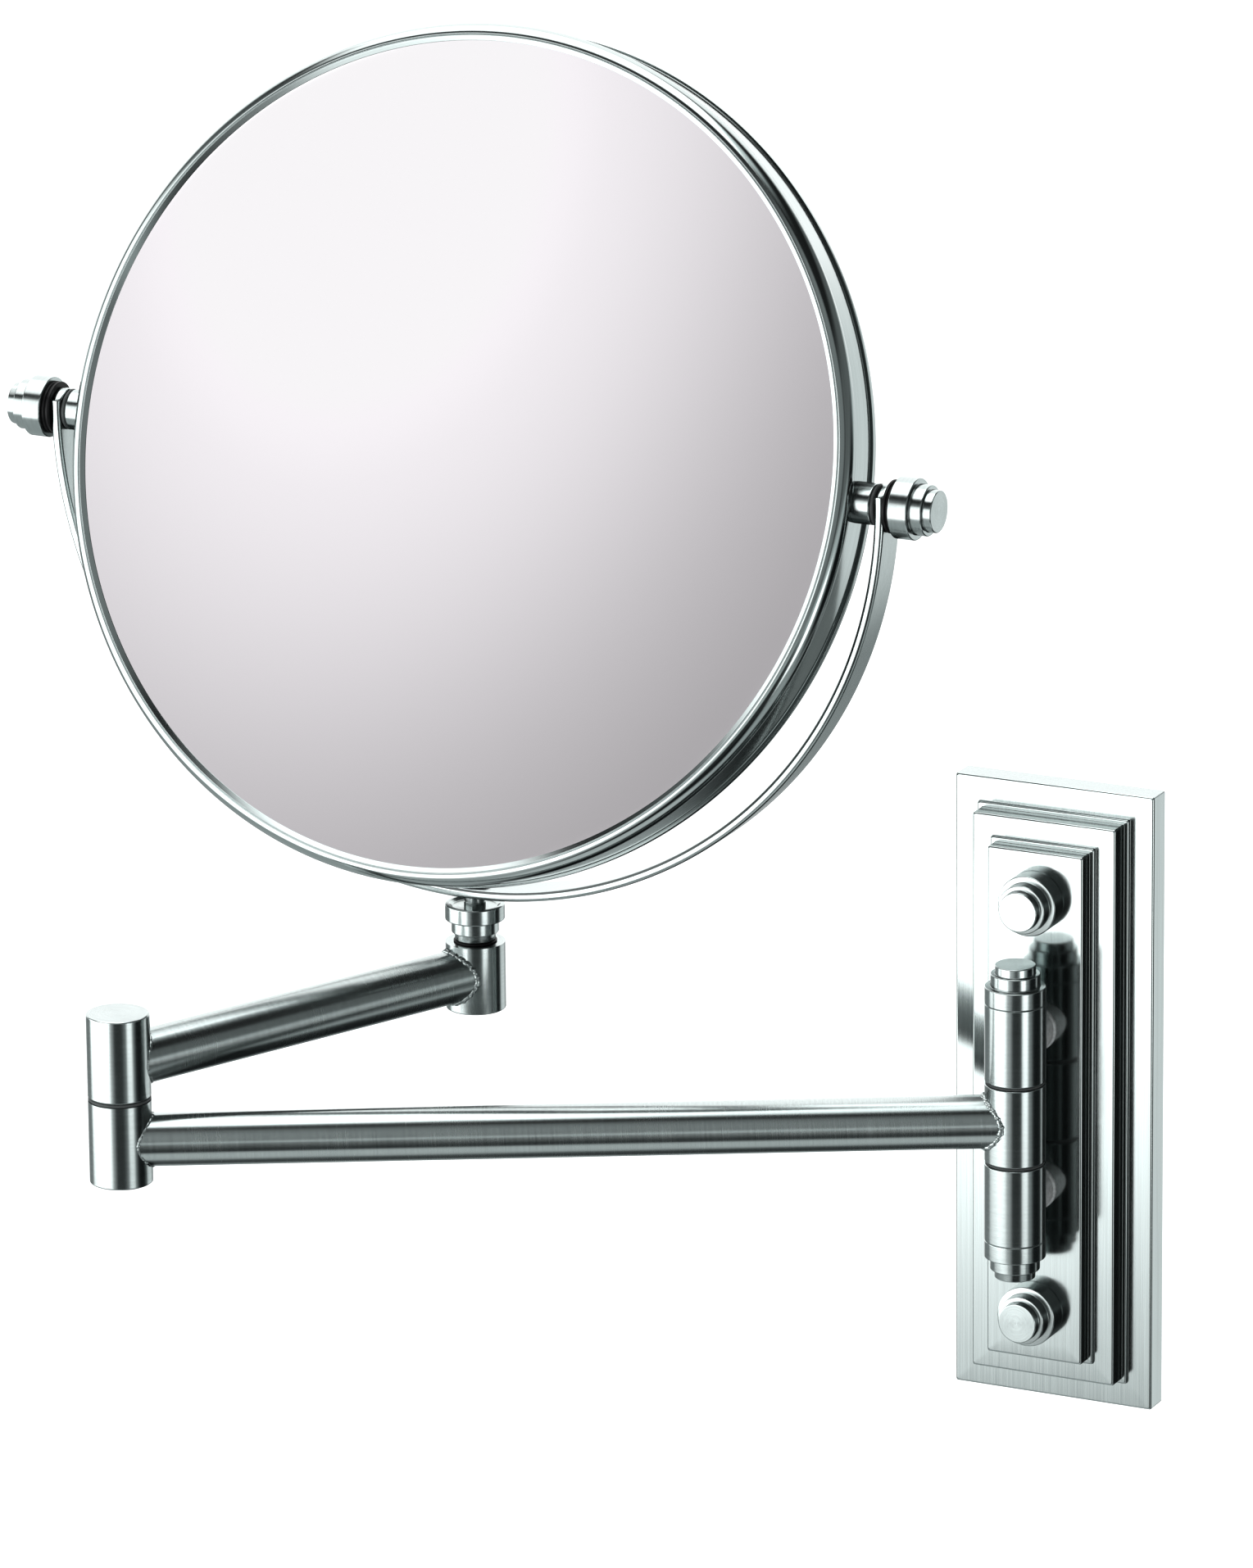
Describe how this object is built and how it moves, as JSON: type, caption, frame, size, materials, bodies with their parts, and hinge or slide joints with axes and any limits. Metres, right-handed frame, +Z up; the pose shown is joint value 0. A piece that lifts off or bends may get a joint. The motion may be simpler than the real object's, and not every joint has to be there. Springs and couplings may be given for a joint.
{
  "type": "extendable wall shaving mirror",
  "caption": "Two-sided round shaving mirror in a tilting yoke, carried by a folding double arm that swings on a stepped rectangular wall plate.",
  "frame": {"origin": "centre of the wall plate's back face, on the wall", "axes": "+Z up, +Y into the wall, so the mirror stands out towards -Y; +X along the wall to the right as seen from the room"},
  "size_m": [0.2822, 0.1351, 0.3247],
  "materials": {
    "plate_nickel": "finely brushed nickel, grain lengthwise",
    "turned_nickel": "turned and brushed nickel",
    "tube_nickel": "brushed nickel, grain along the tube",
    "rim_nickel": "brushed nickel, grain round the rim",
    "pin_steel": "ground steel",
    "zinc_steel": "zinc plated steel",
    "bronze_bush": "sintered bronze",
    "grey_nylon": "moulded nylon",
    "black_rubber": "smooth black rubber",
    "plain_mirror": "silvered flat glass",
    "magnifying_mirror": "silvered concave glass",
    "pad_foam": "closed-cell foam"
  },
  "bodies": {
    "root": {"wall_plate": "plate_nickel", "mounting_strap": "zinc_steel", "mounting_studs": "zinc_steel", "cap_nuts": "turned_nickel", "upper_knuckle": "turned_nickel", "lower_knuckle": "turned_nickel", "standoff_posts": "turned_nickel", "post_screws": "zinc_steel", "hinge_pin": "pin_steel", "upper_finial": "turned_nickel", "lower_finial": "turned_nickel", "hinge_washers": "grey_nylon"},
    "lower_arm": {"wall_barrel": "turned_nickel", "hinge_bushes": "bronze_bush", "lower_arm_tube": "tube_nickel", "elbow_lower_barrel": "turned_nickel", "elbow_bush": "bronze_bush", "elbow_washer": "grey_nylon"},
    "upper_arm": {"elbow_upper_barrel": "turned_nickel", "elbow_pin": "pin_steel", "elbow_screw": "zinc_steel", "elbow_screw_washer": "zinc_steel", "upper_arm_tube": "tube_nickel", "end_barrel": "turned_nickel", "end_bush": "bronze_bush", "swivel_ring": "black_rubber"},
    "yoke": {"swivel_collar": "turned_nickel", "swivel_stem": "tube_nickel", "stem_screw": "zinc_steel", "stem_washer": "zinc_steel", "yoke_band": "rim_nickel", "yoke_screw": "zinc_steel", "inner_pivot_washers": "grey_nylon", "outer_pivot_washers": "black_rubber"},
    "mirror_head": {"drum_band": "rim_nickel", "front_rim": "rim_nickel", "rear_rim": "rim_nickel", "front_glass": "plain_mirror", "magnifying_glass": "magnifying_mirror", "backing_pad": "pad_foam", "core_disc": "zinc_steel", "foam_core": "pad_foam", "pivot_bosses": "turned_nickel"},
    "left_tilt_knob": {"left_knob": "turned_nickel", "left_knob_stud": "pin_steel"},
    "right_tilt_knob": {"right_knob": "turned_nickel", "right_knob_stud": "pin_steel"}
  },
  "joints": [
    {"name": "wall_hinge", "type": "hinge", "parent": "root", "child": "lower_arm", "pos_m": [0, -0.029, 0], "axis": [0, 0, 1], "range_deg": [-28, 152]},
    {"name": "elbow_hinge", "type": "hinge", "parent": "lower_arm", "child": "upper_arm", "pos_m": [-0.18542, -0.12759, 0], "axis": [0, 0, 1], "continuous": true},
    {"name": "yoke_swivel", "type": "hinge", "parent": "upper_arm", "child": "yoke", "pos_m": [-0.13542, -0.04099, 0.0303], "axis": [0, 0, 1], "continuous": true},
    {"name": "mirror_tilt", "type": "hinge", "parent": "yoke", "child": "mirror_head", "pos_m": [-0.13542, -0.04099, 0.14995], "axis": [1, 0, 0], "continuous": true},
    {"name": "left_knob_turn", "type": "hinge", "parent": "mirror_head", "child": "left_tilt_knob", "pos_m": [-0.24677, -0.04099, 0.14995], "axis": [-1, 0, 0], "range_deg": [0, 360]},
    {"name": "right_knob_turn", "type": "hinge", "parent": "mirror_head", "child": "right_tilt_knob", "pos_m": [-0.02407, -0.04099, 0.14995], "axis": [1, 0, 0], "range_deg": [0, 360]}
  ]
}
